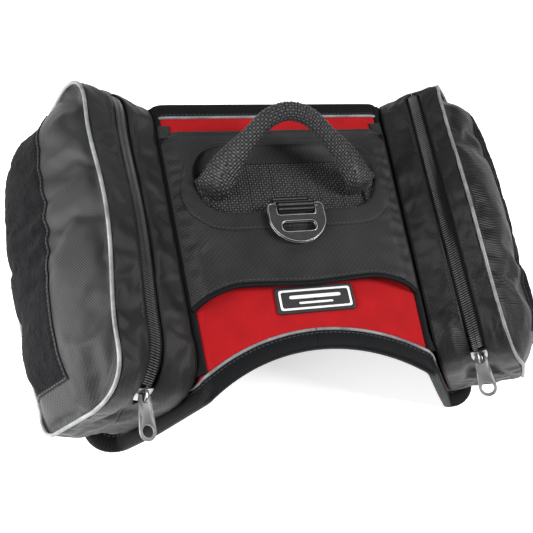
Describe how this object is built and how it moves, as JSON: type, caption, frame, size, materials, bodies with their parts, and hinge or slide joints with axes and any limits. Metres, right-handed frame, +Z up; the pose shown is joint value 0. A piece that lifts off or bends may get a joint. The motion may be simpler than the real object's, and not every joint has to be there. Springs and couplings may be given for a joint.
{
  "type": "dog saddlebag harness",
  "caption": "Padded red dog vest with a nylon bridge panel, a webbing handle, a flip-up lead ring and a zipped, stuffed saddlebag on each side.",
  "frame": {"origin": "on the ground under the middle of the whole harness, which stands on the lower edges of its two flaps", "axes": "+X across the spine to the right-hand bag, +Y along the spine to the tail end, +Z up; the neck end is -Y"},
  "size_m": [0.3782, 0.244, 0.1452],
  "materials": {
    "felt": "fine red felt over foam",
    "binding": "black ribbed binding tape",
    "lining": "soft black tricot lining",
    "reflective": "grey reflective piping",
    "nylon": "black twill nylon, soft sheen",
    "webbing": "coarse black webbing",
    "black_metal": "black nickel, worn bright along the edges",
    "label_rubber": "moulded matte rubber",
    "label_print": "raised white rubber",
    "hook_and_loop": "deep black loop pile",
    "zip_tape": "herringbone zip tape",
    "zip_coil": "nylon coil",
    "zip_metal": "satin nickel plate"
  },
  "bodies": {
    "saddle": {"vest_center": "felt", "vest_lining": "lining", "vest_back_binding": "binding", "vest_neck_binding": "binding", "vest_back_piping": "reflective", "vest_neck_piping": "reflective", "bridge_panel": "nylon", "cutout_facing": "nylon", "panel_back_hem": "nylon", "harness_webbing": "webbing", "label_base": "label_rubber", "label_frame": "label_print", "ring_tab": "webbing", "left_handle_anchor": "webbing", "right_handle_anchor": "webbing"},
    "left_side": {"left_flap": "felt", "left_flap_binding": "binding", "left_flap_piping": "reflective", "left_flap_lining": "lining", "left_loop_pads": "hook_and_loop", "left_hook_pads": "hook_and_loop", "left_bag_back": "nylon", "left_zip_tape_inner": "zip_tape", "left_zip_coil_inner": "zip_coil", "left_zip_end_stop": "zip_metal", "left_seam_binding": "binding"},
    "left_lid": {"left_bag_lid": "nylon", "left_zip_tape_lid": "zip_tape", "left_zip_coil_lid": "zip_coil", "left_face_piping": "reflective", "left_loop_patch": "hook_and_loop"},
    "left_slider": {"left_zip_slider": "zip_metal"},
    "left_pull": {"left_pull_tab": "zip_metal"},
    "right_side": {"right_flap": "felt", "right_flap_binding": "binding", "right_flap_piping": "reflective", "right_flap_lining": "lining", "right_loop_pads": "hook_and_loop", "right_hook_pads": "hook_and_loop", "right_bag_back": "nylon", "right_zip_tape_inner": "zip_tape", "right_zip_coil_inner": "zip_coil", "right_zip_end_stop": "zip_metal", "right_seam_binding": "binding"},
    "right_lid": {"right_bag_lid": "nylon", "right_zip_tape_lid": "zip_tape", "right_zip_coil_lid": "zip_coil", "right_face_piping": "reflective", "right_loop_patch": "hook_and_loop", "right_end_tag": "reflective"},
    "right_slider": {"right_zip_slider": "zip_metal"},
    "right_pull": {"right_pull_tab": "zip_metal"},
    "handle": {"handle": "webbing"},
    "ring": {"d_ring": "black_metal"}
  },
  "joints": [
    {"name": "left_fold", "type": "hinge", "parent": "saddle", "child": "left_side", "pos_m": [-0.081, 0.01497, 0.09059], "axis": [-0.0523, 0.9986, 0], "range_deg": [-28, 50]},
    {"name": "left_bag_open", "type": "hinge", "parent": "left_side", "child": "left_lid", "pos_m": [-0.18234, 0.00966, 0.03723], "axis": [0.0523, -0.9986, 0], "range_deg": [0, 50]},
    {"name": "left_zip_run", "type": "hinge", "parent": "left_side", "child": "left_slider", "pos_m": [-0.12249, -0.0603, 0.07818], "axis": [-0.856, -0.0449, 0.515], "range_deg": [0, 52]},
    {"name": "left_pull_swing", "type": "hinge", "parent": "left_slider", "child": "left_pull", "pos_m": [-0.11397, -0.09547, 0.08928], "axis": [-0.856, -0.0449, 0.515], "range_deg": [-70, 90]},
    {"name": "right_fold", "type": "hinge", "parent": "saddle", "child": "right_side", "pos_m": [0.081, 0.01497, 0.09059], "axis": [-0.0523, -0.9986, 0], "range_deg": [-28, 50]},
    {"name": "right_bag_open", "type": "hinge", "parent": "right_side", "child": "right_lid", "pos_m": [0.18234, 0.00966, 0.03723], "axis": [0.0523, 0.9986, 0], "range_deg": [0, 50]},
    {"name": "right_zip_run", "type": "hinge", "parent": "right_side", "child": "right_slider", "pos_m": [0.12249, -0.0603, 0.07818], "axis": [-0.856, 0.0449, -0.515], "range_deg": [0, 52]},
    {"name": "right_pull_swing", "type": "hinge", "parent": "right_slider", "child": "right_pull", "pos_m": [0.11397, -0.09547, 0.08928], "axis": [-0.856, 0.0449, -0.515], "range_deg": [-70, 90]},
    {"name": "handle_swing", "type": "hinge", "parent": "saddle", "child": "handle", "pos_m": [0, 0.04097, 0.09779], "axis": [1, 0, 0], "range_deg": [-10, 65]},
    {"name": "ring_flip", "type": "hinge", "parent": "saddle", "child": "ring", "pos_m": [0, 0.02357, 0.10359], "axis": [-1, 0, 0], "range_deg": [0, 120]}
  ]
}
